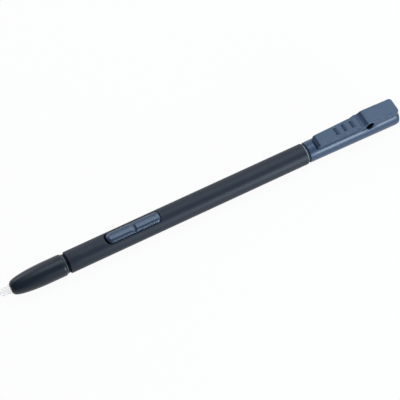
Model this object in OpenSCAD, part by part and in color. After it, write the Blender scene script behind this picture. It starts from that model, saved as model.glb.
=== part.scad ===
// Digitizer stylus for a tablet computer: a slim pen with a nib that slides when pressed,
// a rocking side switch, and a tail moulding that carries a spring clip and a tether hole.
// X runs along the pen, nib at -X and tail at +X. Z is up, with the clip and the switch on top.
// The origin lies on the surface that the pen rests on, below the middle of its length.

/* [Nib] */
// How far the nib stands out of the nose
nib_reach = 3.8; // [2.5:0.1:5]
// Diameter of the nib where it enters the nose
nib_d = 2.8; // [2.4:0.1:3]
// Diameter of the nib's rounded tip
nib_tip_d = 2.2; // [1:0.1:2.4]
// Length of the nib's thick part inside the nose
nib_guide = 2.6; // [2:0.1:3.2]
// Diameter of the nib's shank
shank_d = 1.5; // [1.2:0.1:1.8]
// Travel of the nib when it is pressed
nib_travel = 0.4; // [0.2:0.05:0.6]

/* [Nose] */
// Length of the nose cone
nose_length = 17.95; // [16.5:0.05:22]
// Diameter of the nose cone's front rim
nose_rim_d = 3.7; // [3.6:0.1:4.6]
// Rounding of the nose cone's front rim
nose_rim_round = 0.25; // [0.1:0.05:0.3]
// Length over which the nose cone swells to the barrel's diameter
ogive_length = 12.25; // [10:0.05:15.4]
// Bevel on the edges at the neck
neck_bevel = 0.15; // [0.05:0.05:0.25]
// Length of the neck between the nose cone and the barrel
neck_length = 1.25; // [0.8:0.05:2.5]
// Depth of the neck below the barrel's surface
neck_depth = 0.5; // [0.3:0.05:0.55]
// Depth of the neck's lip below the barrel's surface
lip_depth = 0.15; // [0.1:0.05:0.25]
// Width of the lip behind the nose cone
lip_width = 0.6; // [0.3:0.1:0.7]
// Wall thickness of the collar
collar_wall = 0.57; // [0.4:0.01:0.65]
// Depth of the collar inside the nose cone
collar_in_nose = 4.4; // [3:0.1:5]
// Depth of the collar inside the barrel
collar_in_barrel = 3.2; // [2.5:0.1:5]

/* [Barrel] */
// Outside diameter of the barrel
barrel_d = 7.2; // [6.9:0.1:8]
// Wall thickness of the barrel
barrel_wall = 0.65; // [0.5:0.05:0.7]
// Length of the barrel
barrel_length = 85.15; // [80:0.05:100]
// Bevel on the barrel's rear edge
barrel_bevel = 0.35; // [0.1:0.05:0.45]

/* [Side switch] */
// Distance from the barrel's front edge to the switch
switch_setback = 13.9; // [13:0.1:18]
// Length of the switch
switch_length = 18.3; // [17.5:0.1:21]
// Width of the switch
switch_w = 3.9; // [3.4:0.1:4]
// Gap between the switch and its window
switch_gap = 0.25; // [0.2:0.05:0.4]
// Gap between the switch's front end and its window
switch_front_gap = 0.75; // [0.2:0.05:0.9]
// Corner radius at the switch's front end
switch_front_r = 1.6; // [1:0.1:1.65]
// Corner radius at the switch's rear end
switch_rear_r = 1.2; // [0.8:0.1:1.6]
// Height of the switch's rim above the barrel
rim_proud = 0.05; // [0:0.05:0.15]
// Height of the pillows above the barrel
pillow_proud = 0.4; // [0.2:0.05:0.6]
// Width of each pillow where it meets the rim
pillow_w = 2.7; // [2.2:0.1:3]
// Depth of the pillows' ends below the rim
pillow_sink = 0.1; // [0.05:0.05:0.2]
// Length of the rim in front of and behind the pillows
rim_end = 1.1; // [0.8:0.1:1.6]
// Length of the flat strip in front of the divider
divider_strip = 1.5; // [0.8:0.1:2]
// Depth of the divider groove
divider_depth = 0.3; // [0.1:0.05:0.4]
// Diameter of the pivot pin
pin_d = 0.7; // [0.6:0.05:0.8]
// Distance from the pivot to each foot of the switch
foot_offset = 6.3; // [5:0.1:7]
// Diameter of each foot
foot_d = 1.2; // [0.8:0.1:1.6]

/* [Tail] */
// Length of the tail moulding behind the barrel
tail_length = 33.25; // [32:0.05:40]
// Depth of the tail's neck below the barrel's surface
tail_neck_depth = 0.1; // [0.05:0.05:0.2]
// How far the tail's end swells past the barrel's surface
tail_flare = 0.3; // [0.2:0.05:0.5]
// Rounding of the tail's end
tail_round = 0.6; // [0.3:0.1:1.4]
// Bevel on the tail's front edge
tail_bevel = 0.2; // [0.1:0.05:0.3]
// Length of the tail's plug inside the barrel
plug_length = 4.2; // [3:0.1:6]
// Width of the seal between the barrel and the tail
seal_width = 0.6; // [0.4:0.1:1]
// Depth of the seal below the barrel's surface
seal_depth = 0.35; // [0.2:0.05:0.5]

/* [Clip] */
// Distance from the tail's front edge to the clip arm
arm_setback = 3.9; // [3:0.1:5]
// Length of the clip arm, from its front end to its root
arm_length = 14.75; // [14.5:0.05:17]
// Width of the clip arm at its front end
arm_front_w = 4.5; // [3.8:0.1:4.6]
// Width of the clip arm at its root
arm_root_w = 5; // [4.6:0.1:5.2]
// Height of the clip arm's front end above the barrel
arm_front_rise = 1.05; // [0.8:0.05:1.2]
// Height of the clip arm's root above the barrel
arm_root_rise = 1.45; // [1.2:0.05:1.55]
// Depth below the barrel's top of the floor under the clip arm
channel_drop = 0.7; // [0.6:0.05:0.8]
// Gap under the clip arm
arm_gap = 0.3; // [0.2:0.05:0.4]
// Gap in front of the clip arm
arm_front_gap = 0.9; // [0.4:0.1:1.2]
// Corner radius of the clip arm's front end
arm_corner_r = 0.9; // [0.4:0.1:1.4]
// Bevel along the clip arm's top edges
arm_bevel = 0.25; // [0.1:0.05:0.3]
// Width of the pad at its front
pad_front_w = 5.7; // [5.4:0.1:6]
// Width of the pad at the tail's end
pad_end_w = 5.5; // [5.2:0.1:6]
// Height of the pad's front above the barrel
pad_front_rise = 2.15; // [2:0.05:2.5]
// Height of the pad's end above the barrel
pad_end_rise = 1.8; // [1.5:0.05:2.1]
// Corner radius of the pad's end seen from above
pad_corner_r = 1.9; // [0.8:0.1:2.2]
// Rounding of the pad's top edge at the tail's end
pad_round = 0.5; // [0.2:0.05:0.7]
// Bevel along the pad's top edges
pad_bevel = 0.3; // [0.1:0.05:0.4]
// Length from the clip arm's root to the top of the thumb step
step_length = 2.9; // [2.4:0.1:3.2]
// Number of grip notches
notch_count = 3; // [1:1:3]
// Distance from the clip arm's front end to the first notch
notch_setback = 6.5; // [4:0.1:7]
// Distance between notches
notch_pitch = 2.9; // [2:0.1:3]
// Length of each notch
notch_length = 1.6; // [1:0.1:1.8]
// Width of each notch
notch_w = 2.5; // [2:0.1:2.8]
// Depth of each notch
notch_depth = 0.4; // [0.1:0.05:0.5]
// Diameter of the tether hole
tether_d = 2.9; // [2:0.1:3]
// Distance from the clip arm's root to the tether hole
tether_setback = 3.45; // [3.2:0.05:6]
// Height of the tether hole above the barrel
tether_rise = 0.1; // [0.05:0.05:0.2]

/* [Coil and sensor] */
// Length of the coil former
coil_length = 12.6; // [11:0.1:13]
// Wall thickness of the coil former, as a share of the room between shank and collar
former_share = 0.16; // [0.12:0.01:0.2]
// Thickness of the coil former's flanges
flange_t = 0.6; // [0.4:0.1:0.8]
// Thickness of the winding, as a share of the room between shank and collar
winding_share = 0.24; // [0.15:0.01:0.28]
// Depth of the winding below the edge of the flanges, as a share of that room
winding_depth_share = 0.08; // [0.04:0.01:0.12]
// Width and thickness of each coil lead
lead_w = 0.3; // [0.2:0.05:0.35]
// Room between each lead and the collar's bore
lead_edge = 0.35; // [0.3:0.05:0.5]
// Room for a lead between the sensor and the barrel
lead_side_room = 0.54; // [0.5:0.02:0.7]
// Room for the leads between the collar and the sensor
lead_room = 1.4; // [1.2:0.1:2]
// Length of the sensor housing
sensor_length = 7; // [6.6:0.1:8]
// Thickness of the sensor housing's side walls
sensor_wall = 0.25; // [0.2:0.05:0.3]
// Thickness of the sensor housing's front wall
sensor_front_t = 0.8; // [0.5:0.1:1]
// Radial room round the nib holder in the sensor housing
holder_room = 0.2; // [0.15:0.05:0.4]
// Length of the nib holder
holder_length = 2.6; // [2.2:0.1:2.8]
// Depth of the nib's socket in its holder
holder_socket = 2.1; // [1.5:0.1:2.1]
// Thickness of the conductive rubber
rubber_t = 1.1; // [0.9:0.05:1.2]
// How far the conductive rubber lies inside the nib holder's edge
rubber_inset = 0.1; // [0:0.05:0.3]
// Thickness of the dielectric disc
disc_t = 0.5; // [0.3:0.05:0.7]

/* [Board] */
// Thickness of the circuit board
board_t = 0.8; // [0.6:0.1:0.8]
// Thickness of the carrier's side walls beside the board
channel_wall = 0.45; // [0.35:0.05:0.55]
// Width of the ledge under each edge of the board
ledge_w = 0.45; // [0.3:0.05:0.6]
// Depth of the carrier's trough below the board
trough_depth = 1.2; // [0.6:0.1:1.4]
// Thickness of the carrier's end walls
end_wall = 1.5; // [1:0.1:2]
// Height of the pivot pin above the pen's axis
pin_h = 1.5; // [1.45:0.05:1.6]
// Length of the carrier's ears along the pen
ear_length = 2; // [1.6:0.1:2.4]
// Width of the lug that the pin passes through
lug_w = 2.1; // [1.6:0.1:2.2]
// Wall thickness round the pin
pin_wall = 0.42; // [0.3:0.02:0.44]
// Diameter of each snap dome
dome_d = 2.4; // [2:0.1:3]
// Height of each snap dome
dome_h = 0.35; // [0.25:0.05:0.4]
// Length of the control chip
chip_length = 3.2; // [2:0.1:4]
// Width of the control chip
chip_w = 2.4; // [1.6:0.1:3]
// Height of the control chip
chip_h = 0.8; // [0.5:0.1:1.2]
// Distance from the pivot to the control chip
chip_offset = 16; // [14:0.5:18]
// Side of the trimmer's base
trimmer_w = 2.6; // [2:0.1:3]
// Height of the trimmer
trimmer_h = 1.1; // [0.8:0.1:1.3]
// Distance from the pivot to the trimmer
trimmer_offset = 23; // [21:0.5:25]
// Number of chip capacitors
capacitor_count = 4; // [2:1:4]
// Distance from the pivot to the first chip capacitor
capacitor_offset = 28; // [27:0.5:29]
// Distance between chip capacitors
capacitor_pitch = 3; // [2:0.1:4]
// Length, width and height of each chip capacitor
capacitor_size = [1.6, 0.8, 0.7]; // [0.5:0.1:2]
// Length of the rear cushion
cushion_length = 2.8; // [2:0.1:4]

/* [Fits] */
// Radial clearance of the sliding nib and of the switch on its pin
slide_clear = 0.05; // [0.03:0.01:0.08]
// Clearance of pieces that are pushed or glued together
seat_clear = 0.03; // [0.02:0.01:0.05]
// Clearance of the carrier in the barrel
carrier_clear = 0.1; // [0.05:0.01:0.15]
// Radial clearance of the nib's shank where it passes through the coil and the sensor
shank_clear = 0.2; // [0.1:0.05:0.3]
// Clearance between the switch's feet and the domes at rest
foot_clear = 0.05; // [0.03:0.01:0.1]
// Clearance at the clip arm's root
root_clear = 0.06; // [0.04:0.01:0.1]

/* [Hidden] */
$fn = 72;
// Reach of a cutting shape past the surface that it opens
past = 1;
// Points along a quarter of a round profile
arc_steps = 12;
// Step that keeps joined surfaces apart
ridge = 0.03;

// Stations along the pen, from the tip of the nib
nose_x = nib_reach;
nose_rear_x = nose_x + nose_length;
barrel_x = nose_rear_x + neck_length;
barrel_rear_x = barrel_x + barrel_length;
tail_x = barrel_rear_x + seal_width;
tail_rear_x = tail_x + tail_length;
guide_rear_x = nose_x + nib_guide;
// Length of the nib's bore that stays free behind the pressed nib
guide_spare = 1.1;
coil_x = guide_rear_x + nib_travel + guide_spare;
coil_rear_x = coil_x + coil_length;
collar_x = nose_rear_x - collar_in_nose;
collar_rear_x = barrel_x + collar_in_barrel;
sensor_x = collar_rear_x + lead_room;
sensor_rear_x = sensor_x + sensor_length;
holder_x = sensor_x + sensor_front_t + seat_clear;
holder_rear_x = holder_x + holder_length;
rubber_x = holder_rear_x + seat_clear;
disc_x = rubber_x + rubber_t + seat_clear;
terminal_x = disc_x + disc_t + seat_clear;
carrier_x = sensor_rear_x + carrier_clear;
plug_x = barrel_rear_x - plug_length;
cushion_x = plug_x - carrier_clear - cushion_length;
carrier_rear_x = cushion_x - carrier_clear;
board_x = carrier_x + end_wall + carrier_clear;
board_rear_x = carrier_rear_x - end_wall - carrier_clear;
switch_x = barrel_x + switch_setback;
pivot_x = switch_x + switch_length / 2;
arm_x = tail_x + arm_setback;
root_x = arm_x + arm_length;
tether_x = root_x + tether_setback;

// Radii and heights from the pen's axis
barrel_r = barrel_d / 2;
bore_r = barrel_r - barrel_wall;
collar_r = bore_r - seat_clear;
collar_bore_r = collar_r - collar_wall;
nib_bore_r = nib_d / 2 + slide_clear;
shank_bore_r = shank_d / 2 + shank_clear;
flange_r = collar_bore_r - carrier_clear;
coil_room = flange_r - shank_bore_r;
winding_r = flange_r - coil_room * winding_depth_share;
former_r = winding_r - coil_room * winding_share - seat_clear;
former_bore_r = former_r - coil_room * former_share;
ferrite_r = former_bore_r - seat_clear;
carrier_r = bore_r - carrier_clear;
plug_r = bore_r - seat_clear;
board_top = board_t / 2;
slot_y = carrier_r - channel_wall;
board_y = slot_y - seat_clear;
lead_h = board_top + lead_w / 2 + seat_clear;
lead_inner_y = collar_bore_r - lead_edge - lead_w / 2;
bore_y = sqrt(bore_r * bore_r - lead_h * lead_h);
lead_outer_y = bore_y - lead_side_room / 2;
sensor_flat_y = bore_y - lead_side_room;
sensor_bore_r = sensor_flat_y - sensor_wall;
holder_r = sensor_bore_r - holder_room;
rubber_r = holder_r - rubber_inset;
rim_r = barrel_r + rim_proud;
pin_bore_r = pin_d / 2 + slide_clear;
lug_r = pin_bore_r + pin_wall;
ear_top = pin_h + pin_d / 2 + pin_wall / 2;
// Clearance between the carrier's ears and the switch above them
ear_clear = 0.25;
switch_bottom = ear_top + ear_clear;
tail_neck_r = barrel_r - tail_neck_depth;
tail_end_r = barrel_r + tail_flare;
axis_h = tail_end_r;
pen_top = barrel_r + pad_front_rise + past;

// Clip arm, its root and the thumb step behind it
arm_front_h = barrel_r + arm_front_rise;
arm_root_h = barrel_r + arm_root_rise;
channel_h = barrel_r - channel_drop;
pad_front_h = barrel_r + pad_front_rise;
pad_end_h = barrel_r + pad_end_rise;
tether_h = barrel_r + tether_rise;
arm_floor = channel_h + arm_gap;
root_r = (arm_root_h - arm_floor) / 2;
root_z = arm_floor + root_r;
root_seat_r = root_r + root_clear;
lip_x = root_x + root_seat_r * cos(45);
lip_z = root_z + root_seat_r * sin(45);
step_top_x = root_x + step_length;
pad_rear_x = tail_rear_x - ridge;
pad_corner_x = pad_rear_x - pad_corner_r;

// Points on an arc about a centre, from one angle to another
function arc(centre, r, from, to, steps = arc_steps) =
    [for (i = [0:steps]) centre + r * [cos(from + (to - from) * i / steps), sin(from + (to - from) * i / steps)]];

// Places a child, drawn with X from the nib's tip and Z from the pen's axis, in the pen's frame
module on_pen() {
    translate([-tail_rear_x / 2, 0, axis_h]) children();
}

// Solid of revolution about the pen's axis, from points given as [radius, station]
module turned(points) {
    rotate([0, 90, 0]) rotate_extrude() polygon(points);
}

// Round bar along X
module bar_x(from, to, r) {
    translate([from, 0, 0]) rotate([0, 90, 0]) cylinder(h = to - from, r = r);
}

// Round bar across the pen, along Y, centred on it
module bar_y(x, z, r, length) {
    translate([x, 0, z]) rotate([90, 0, 0]) cylinder(h = length, r = r, center = true);
}

// Ring along X
module ring_x(from, to, r, inner_r) {
    difference() {
        bar_x(from, to, r);
        bar_x(from - past, to + past, inner_r);
    }
}

// Block between two corners
module block(low, high) {
    translate(low) cube(high - low);
}

// A shape drawn in X and Z, made into a slab of a given width across the pen
module slab_y(width) {
    rotate([90, 0, 0]) translate([0, 0, -width / 2]) linear_extrude(width) children();
}

module nib() {
    tip_r = nib_tip_d / 2;
    shank_end_x = holder_x + holder_socket - seat_clear;
    color("#eef0f2") on_pen() turned(concat(
        arc([0, tip_r], tip_r, -90, -10),
        [
            [nib_d / 2, nose_x],
            [nib_d / 2, guide_rear_x],
            [shank_d / 2, guide_rear_x],
            [shank_d / 2, shank_end_x],
            [0, shank_end_x]
        ]
    ));
}

module nib_holder() {
    color("#d9dcd8") on_pen() difference() {
        bar_x(holder_x, holder_rear_x, holder_r);
        bar_x(holder_x - past, holder_x + holder_socket, shank_d / 2 + seat_clear);
    }
}

// Bullet-shaped shell: a rounded front rim, then a quarter of an ellipse up to the barrel's size
module nose_cone() {
    rim_r = nose_rim_d / 2;
    swell = barrel_r - rim_r;
    ogive = [for (i = [1:arc_steps]) [
        rim_r + swell * sin(90 * i / arc_steps),
        nose_x + nose_rim_round + (ogive_length - nose_rim_round) * (1 - cos(90 * i / arc_steps))
    ]];
    color("#333a45") on_pen() turned(concat(
        [[nib_bore_r, nose_x]],
        arc([rim_r - nose_rim_round, nose_x + nose_rim_round], nose_rim_round, -90, 0, 6),
        ogive,
        [
            [barrel_r, nose_rear_x - neck_bevel],
            [barrel_r - neck_bevel, nose_rear_x],
            [bore_r, nose_rear_x],
            [bore_r, collar_x - seat_clear],
            [collar_bore_r, collar_x - seat_clear],
            [collar_bore_r, coil_x - seat_clear],
            [nib_bore_r, coil_x - seat_clear]
        ]
    ));
}

// Sleeve that joins the nose cone to the barrel, with a lip behind the nose cone
module nose_collar() {
    color("#4a525f") on_pen() difference() {
        union() {
            bar_x(collar_x, collar_rear_x, collar_r);
            bar_x(nose_rear_x, barrel_x, barrel_r - neck_depth);
            bar_x(nose_rear_x, nose_rear_x + lip_width, barrel_r - lip_depth);
        }
        bar_x(collar_x - past, collar_rear_x + past, collar_bore_r);
    }
}

// Outline of the switch seen from above, grown by gaps for its window
module switch_outline(grow, front_grow) {
    half_w = switch_w / 2 + grow;
    front_r = switch_front_r + grow;
    rear_r = switch_rear_r + grow;
    front = switch_x - front_grow + front_r;
    rear = switch_x + switch_length + grow - rear_r;
    polygon(concat(
        arc([rear, half_w - rear_r], rear_r, 0, 90),
        arc([front, half_w - front_r], front_r, 90, 180),
        arc([front, front_r - half_w], front_r, 180, 270),
        arc([rear, rear_r - half_w], rear_r, 270, 360)
    ));
}

module barrel() {
    color("#434b57") on_pen() difference() {
        turned([
            [bore_r, barrel_x],
            [barrel_r - neck_bevel, barrel_x],
            [barrel_r, barrel_x + neck_bevel],
            [barrel_r, barrel_rear_x - barrel_bevel],
            [barrel_r - barrel_bevel, barrel_rear_x],
            [bore_r, barrel_rear_x]
        ]);
        linear_extrude(pen_top) switch_outline(switch_gap, switch_front_gap);
    }
}

// One pillow of the switch: a spindle along the pen that stands out of the rim and sinks into it at its ends
module pillow(from, to) {
    top = barrel_r + pillow_proud;
    edge = sqrt(rim_r * rim_r - pillow_w * pillow_w / 4);
    height = top - edge;
    crown_r = (pillow_w * pillow_w / 4 + height * height) / (2 * height);
    half = (to - from) / 2;
    fall = top - rim_r + pillow_sink;
    sweep_r = (half * half + fall * fall) / (2 * fall);
    spread = asin(half / sweep_r);
    profile = [for (i = [-arc_steps:arc_steps]) [
        crown_r - sweep_r * (1 - cos(spread * i / arc_steps)),
        sweep_r * sin(spread * i / arc_steps)
    ]];
    translate([(from + to) / 2, 0, top - crown_r])
        rotate([0, 90, 0])
        rotate_extrude()
        polygon(concat([[0, -half]], profile, [[0, half]]));
}

// Rocker: a rimmed plate with a pillow on each side of a divider, a lug on the pivot pin
// and two feet that press the snap domes
module side_switch() {
    divider_side = divider_depth * sqrt(2);
    dome_top = board_top + dome_h;
    color("#61738c") on_pen() difference() {
        union() {
            intersection() {
                translate([0, 0, switch_bottom]) linear_extrude(pen_top) switch_outline(0, 0);
                union() {
                    bar_x(switch_x, switch_x + switch_length, rim_r);
                    pillow(switch_x + rim_end, pivot_x - divider_strip);
                    pillow(pivot_x + divider_depth, switch_x + switch_length - rim_end);
                }
            }
            bar_y(pivot_x, pin_h, lug_r, lug_w);
            block([pivot_x - lug_r, -lug_w / 2, pin_h], [pivot_x + lug_r, lug_w / 2, switch_bottom + past / 2]);
            for (side = [-1, 1])
                translate([pivot_x + side * foot_offset, 0, dome_top + foot_clear])
                    cylinder(h = switch_bottom + past / 2 - dome_top - foot_clear, d = foot_d);
        }
        bar_y(pivot_x, pin_h, pin_bore_r, barrel_d);
        translate([pivot_x, 0, rim_r])
            rotate([0, 45, 0])
            cube([divider_side, barrel_d, divider_side], center = true);
    }
}

module switch_pin() {
    pin_reach = sqrt(carrier_r * carrier_r - ear_top * ear_top);
    color("#b9bdc2") on_pen() bar_y(pivot_x, pin_h, pin_d / 2, 2 * pin_reach);
}

// Outline of the clip arm seen from above: it widens towards its root
module arm_outline() {
    front_y = arm_front_w / 2;
    root_y = arm_root_w / 2;
    polygon(concat(
        [[root_x + root_r, -root_y], [root_x + root_r, root_y], [root_x, root_y]],
        arc([arm_x + arm_corner_r, front_y - arm_corner_r], arm_corner_r, 90, 180),
        arc([arm_x + arm_corner_r, arm_corner_r - front_y], arm_corner_r, 180, 270),
        [[root_x, -root_y]]
    ));
}

// Bar that bevels a straight top edge between two points
module edge_cutter(from, to, bevel) {
    run = to - from;
    bevel_side = bevel * sqrt(2);
    translate(from)
        rotate([0, 0, atan2(run.y, run.x)])
        rotate([0, -atan2(run.z, run.x), 0])
        rotate([45, 0, 0])
        translate([-past, -bevel_side / 2, -bevel_side / 2])
        cube([norm(run) + 2 * past, bevel_side, bevel_side]);
}

// Spring arm: a tapered leaf with a round root and notches for the thumb
module clip_arm() {
    rise = (arm_root_h - arm_front_h) / arm_length;
    color("#5b6d85") on_pen() difference() {
        intersection() {
            union() {
                slab_y(barrel_d) polygon([
                    [arm_x, arm_floor], [arm_x, arm_front_h], [root_x, arm_root_h], [root_x, arm_floor]
                ]);
                intersection() {
                    bar_y(root_x, root_z, root_r, barrel_d);
                    block([root_x, -barrel_r, 0], [root_x + root_r + past, barrel_r, pen_top]);
                }
            }
            linear_extrude(pen_top) arm_outline();
        }
        for (side = [-1, 1]) edge_cutter(
            [arm_x, side * arm_front_w / 2, arm_front_h], [root_x, side * arm_root_w / 2, arm_root_h], arm_bevel
        );
        for (i = [0:notch_count - 1]) {
            start = notch_setback + i * notch_pitch;
            top = arm_front_h + rise * start;
            slab_y(notch_w) polygon([
                [arm_x + start, top - notch_depth],
                [arm_x + start, top + past],
                [arm_x + start + notch_length, top + past],
                [arm_x + start + notch_length, top + rise * notch_length]
            ]);
        }
    }
}

// Outline of the pad seen from above, with round corners at the tail's end
module pad_outline() {
    front_y = pad_front_w / 2;
    end_y = pad_end_w / 2;
    polygon(concat(
        [[lip_x, front_y], [lip_x, -front_y]],
        arc([pad_corner_x, pad_corner_r - end_y], pad_corner_r, 270, 360),
        arc([pad_corner_x, end_y - pad_corner_r], pad_corner_r, 0, 90)
    ));
}

// Raised block behind the clip arm, with a hollow thumb step up to its sloping top
module pad() {
    sweep = 60;
    slope = [for (i = [0:arc_steps]) [
        lip_x + (step_top_x - lip_x) * sin(sweep * i / arc_steps) / sin(sweep),
        lip_z + (pad_front_h - lip_z) * (1 - cos(sweep * i / arc_steps)) / (1 - cos(sweep))
    ]];
    fall = (pad_end_h - pad_front_h) / (pad_rear_x - pad_round - step_top_x);
    spread = (pad_end_w - pad_front_w) / 2 / (pad_corner_x - lip_x);
    step_y = pad_front_w / 2 + spread * (step_top_x - lip_x);
    difference() {
        intersection() {
            slab_y(2 * tail_end_r) polygon(concat(
                [[lip_x, 0]],
                slope,
                arc([pad_rear_x - pad_round, pad_end_h - pad_round], pad_round, 90, 0),
                [[pad_rear_x, 0]]
            ));
            linear_extrude(pen_top) pad_outline();
        }
        for (side = [-1, 1]) edge_cutter(
            [step_top_x, side * step_y, pad_front_h],
            [pad_corner_x, side * pad_end_w / 2, pad_front_h + fall * (pad_corner_x - step_top_x)],
            pad_bevel
        );
    }
}

// Tail moulding: a plug in the barrel, a round body with a seat under the clip arm, the pad behind it,
// and the tether hole that the slot under the arm runs into
module tail_cap() {
    color("#55667d") on_pen() difference() {
        union() {
            turned(concat(
                [
                    [0, plug_x],
                    [plug_r - tail_bevel, plug_x],
                    [plug_r, plug_x + tail_bevel],
                    [plug_r, tail_x],
                    [tail_neck_r - tail_bevel, tail_x],
                    [tail_neck_r, tail_x + tail_bevel]
                ],
                arc([tail_end_r - tail_round, tail_rear_x - tail_round], tail_round, 0, 90),
                [[0, tail_rear_x]]
            ));
            pad();
        }
        block([arm_x - arm_front_gap, -tail_end_r, channel_h], [root_x, tail_end_r, pen_top]);
        bar_y(root_x, root_z, root_seat_r, 2 * tail_end_r);
        block([root_x - past, -tail_end_r, channel_h + ridge], [tether_x, tail_end_r, arm_floor]);
        bar_y(tether_x, tether_h, tether_d / 2, 2 * tail_end_r + past);
    }
}

module tail_seal() {
    color("#1b1d20") on_pen() ring_x(barrel_rear_x + seat_clear, tail_x - seat_clear, barrel_r - seal_depth, bore_r);
}

module coil_former() {
    color("#c9b48a") on_pen() difference() {
        union() {
            bar_x(coil_x, coil_rear_x, former_r);
            bar_x(coil_x, coil_x + flange_t, flange_r);
            bar_x(coil_rear_x - flange_t, coil_rear_x, flange_r);
        }
        bar_x(coil_x - past, coil_rear_x + past, shank_bore_r);
        bar_x(coil_x + flange_t, coil_rear_x + past, former_bore_r);
    }
}

module ferrite_core() {
    color("#3a3a3c") on_pen()
        ring_x(coil_x + flange_t + seat_clear, coil_rear_x, ferrite_r, shank_bore_r);
}

module coil_winding() {
    color("#b4713a") on_pen() ring_x(
        coil_x + flange_t + seat_clear, coil_rear_x - flange_t - seat_clear, winding_r, former_r + seat_clear
    );
}

// One straight stretch of a square lead, between two points of its middle line
module lead_run(from, to) {
    block(
        [from.x - lead_w / 2, from.y - lead_w / 2, lead_h - lead_w / 2],
        [to.x + lead_w / 2, to.y + lead_w / 2, lead_h + lead_w / 2]
    );
}

// Two leads with square bends from the coil, past the sensor and on to the board
module coil_leads() {
    start_x = coil_rear_x + lead_w / 2 + seat_clear;
    bend_x = collar_rear_x + lead_room / 2;
    landing_x = board_x + end_wall;
    color("#c2502f") on_pen() for (side = [-1, 1]) scale([1, side, 1]) {
        lead_run([start_x, lead_inner_y], [bend_x, lead_inner_y]);
        lead_run([bend_x, lead_inner_y], [bend_x, lead_outer_y]);
        lead_run([bend_x, lead_outer_y], [landing_x, lead_outer_y]);
        lead_run([landing_x, lead_inner_y], [landing_x, lead_outer_y]);
        lead_run([landing_x, lead_inner_y], [landing_x + end_wall, lead_inner_y]);
    }
}

// Cup with flat sides that leave room for the leads
module sensor_housing() {
    color("#8f949b") on_pen() difference() {
        intersection() {
            bar_x(sensor_x, sensor_rear_x, collar_r);
            block([sensor_x, -sensor_flat_y, -barrel_r], [sensor_rear_x, sensor_flat_y, barrel_r]);
        }
        bar_x(sensor_x - past, sensor_rear_x, shank_bore_r);
        bar_x(sensor_x + sensor_front_t, sensor_rear_x + past, sensor_bore_r);
    }
}

// Pad with a domed rear face that spreads on the dielectric disc as the nib is pressed
module sensor_rubber() {
    crown = rubber_t / 2;
    radius = rubber_r;
    ball_r = (radius * radius + crown * crown) / (2 * crown);
    spread = asin(radius / ball_r);
    color("#2a2c2e") on_pen() turned(concat(
        [[0, rubber_x], [radius, rubber_x]],
        arc([0, rubber_x + rubber_t - ball_r], ball_r, 90 - spread, 90)
    ));
}

module dielectric_disc() {
    color("#e6e1d2") on_pen() bar_x(disc_x, disc_x + disc_t, sensor_bore_r - seat_clear);
}

// Metal contact behind the disc, with a tab that reaches the board
module sensor_terminal() {
    tab_half_w = shank_bore_r / 2;
    tab_z = board_top + seat_clear;
    color("#c8a24a") on_pen() {
        bar_x(terminal_x, sensor_rear_x, sensor_bore_r - seat_clear);
        block([sensor_rear_x - past, -tab_half_w, tab_z], [board_x + end_wall, tab_half_w, tab_z + lead_w]);
    }
}

// Inner frame: a channel that holds the board, closed by a wall at each end, with ears for the pin
module board_carrier() {
    floor_z = -board_top - trough_depth;
    trough_y = slot_y - ledge_w;
    open_x = carrier_x + end_wall;
    open_rear_x = carrier_rear_x - end_wall;
    ear_y = lug_w / 2 + carrier_clear;
    notch_y = lead_outer_y - lead_w;
    notch_z = lead_h - lead_w;
    color("#23262b") on_pen() difference() {
        union() {
            difference() {
                bar_x(carrier_x, carrier_rear_x, carrier_r);
                block([open_x, -barrel_r, board_top], [open_rear_x, barrel_r, barrel_r]);
            }
            intersection() {
                bar_x(carrier_x, carrier_rear_x, carrier_r);
                for (side = [-1, 1]) scale([1, side, 1]) block(
                    [pivot_x - ear_length / 2, ear_y, 0], [pivot_x + ear_length / 2, barrel_r, ear_top]
                );
            }
        }
        block([open_x, -slot_y, -board_top - seat_clear], [open_rear_x, slot_y, board_top + seat_clear]);
        block([open_x, -trough_y, floor_z], [open_rear_x, trough_y, 0]);
        block([carrier_x - past, -shank_bore_r, -board_top], [open_x + past, shank_bore_r, lead_h + lead_w]);
        for (side = [-1, 1]) scale([1, side, 1]) block(
            [carrier_x - past, notch_y, notch_z], [open_x + past, barrel_r, lead_h + lead_w]
        );
        bar_y(pivot_x, pin_h, pin_d / 2 + seat_clear, barrel_d);
    }
}

module circuit_board() {
    color("#2f6b45") on_pen() block([board_x, -board_y, -board_top], [board_rear_x, board_y, board_top]);
}

// Shallow metal dome on the board under a foot of the switch
module snap_dome(side) {
    radius = dome_d / 2;
    ball_r = (radius * radius + dome_h * dome_h) / (2 * dome_h);
    spread = asin(radius / ball_r);
    translate([pivot_x + side * foot_offset, 0, board_top])
        rotate_extrude()
        polygon(concat([[0, 0]], arc([0, dome_h - ball_r], ball_r, 90 - spread, 90)));
}

module front_dome() {
    color("#c4c7c9") on_pen() snap_dome(-1);
}

module rear_dome() {
    color("#c4c7c9") on_pen() snap_dome(1);
}

// Block that stands on the board at a distance behind the pivot
module on_board(offset, size) {
    translate([pivot_x + offset, -size.y / 2, board_top]) cube(size);
}

module control_chip() {
    color("#17181a") on_pen() on_board(chip_offset, [chip_length, chip_w, chip_h]);
}

// Trimmer: a square base with a round slotted rotor
module trimmer() {
    base_h = trimmer_h / 2;
    slot_w = trimmer_w / 6;
    color("#d8c9a0") on_pen() difference() {
        union() {
            on_board(trimmer_offset, [trimmer_w, trimmer_w, base_h]);
            translate([pivot_x + trimmer_offset + trimmer_w / 2, 0, board_top])
                cylinder(h = trimmer_h, d = trimmer_w - 2 * slot_w);
        }
        translate([pivot_x + trimmer_offset + trimmer_w / 2, 0, board_top + trimmer_h])
            cube([slot_w, trimmer_w, base_h], center = true);
    }
}

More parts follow.
